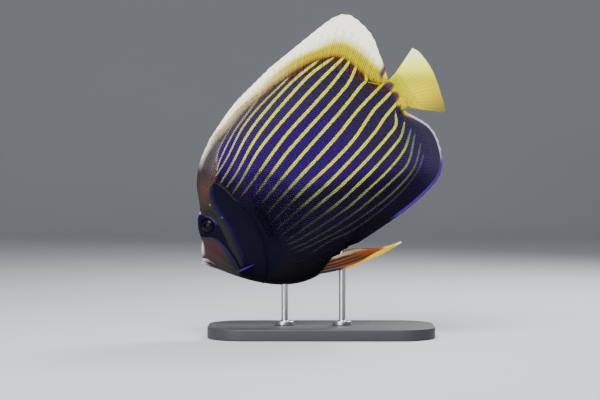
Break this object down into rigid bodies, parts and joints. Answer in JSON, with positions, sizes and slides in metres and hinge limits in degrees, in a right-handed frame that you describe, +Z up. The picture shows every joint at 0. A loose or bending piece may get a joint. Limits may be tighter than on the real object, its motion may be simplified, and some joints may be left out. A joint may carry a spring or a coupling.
{
  "type": "emperor angelfish",
  "caption": "Life-size emperor angelfish, swimming nose-down with fins spread, held over a flat base by rods.",
  "frame": {"origin": "middle of the stand's underside, below the fish's middle", "axes": "+Z up from the base, -X the way the fish heads, so its left side faces -Y"},
  "size_m": [0.259, 0.116, 0.3355],
  "materials": {
    "head_skin": "smooth scaled skin, near black with a blue edge",
    "snout_skin": "smooth skin, greyish pink",
    "trunk_skin": "fine scales, satin, dark blue with yellow stripes",
    "yellow_fin": "thin scaled membrane over rays, satin, yellow",
    "dark_fin": "thin scaled membrane over rays, satin, blue black",
    "pelvic_fin": "thin membrane over rays, satin, maroon with a yellow edge",
    "cheek_spine": "smooth bony spine, bright blue",
    "eye": "wet, clear cornea over a dark iris",
    "stand_paint": "matt dark grey",
    "stand_steel": "brushed"
  },
  "bodies": {
    "root": {"head": "head_skin", "gill_cover_left": "head_skin", "gill_cover_right": "head_skin", "upper_jaw": "snout_skin", "lower_jaw": "snout_skin", "torso_front": "trunk_skin", "torso_rear": "trunk_skin", "tail_stalk": "trunk_skin", "dorsal_fin_spiny": "trunk_skin", "dorsal_fin_soft": "yellow_fin", "tail_fin": "yellow_fin", "anal_fin": "dark_fin", "pectoral_fin_left": "dark_fin", "pectoral_fin_right": "dark_fin", "pelvic_fin_left": "pelvic_fin", "pelvic_fin_right": "pelvic_fin", "cheek_spine_left": "cheek_spine", "cheek_spine_right": "cheek_spine", "eye_left": "eye", "eye_right": "eye", "stand_base": "stand_paint", "stand_rod_front": "stand_steel", "stand_rod_rear": "stand_steel"}
  },
  "joints": []
}
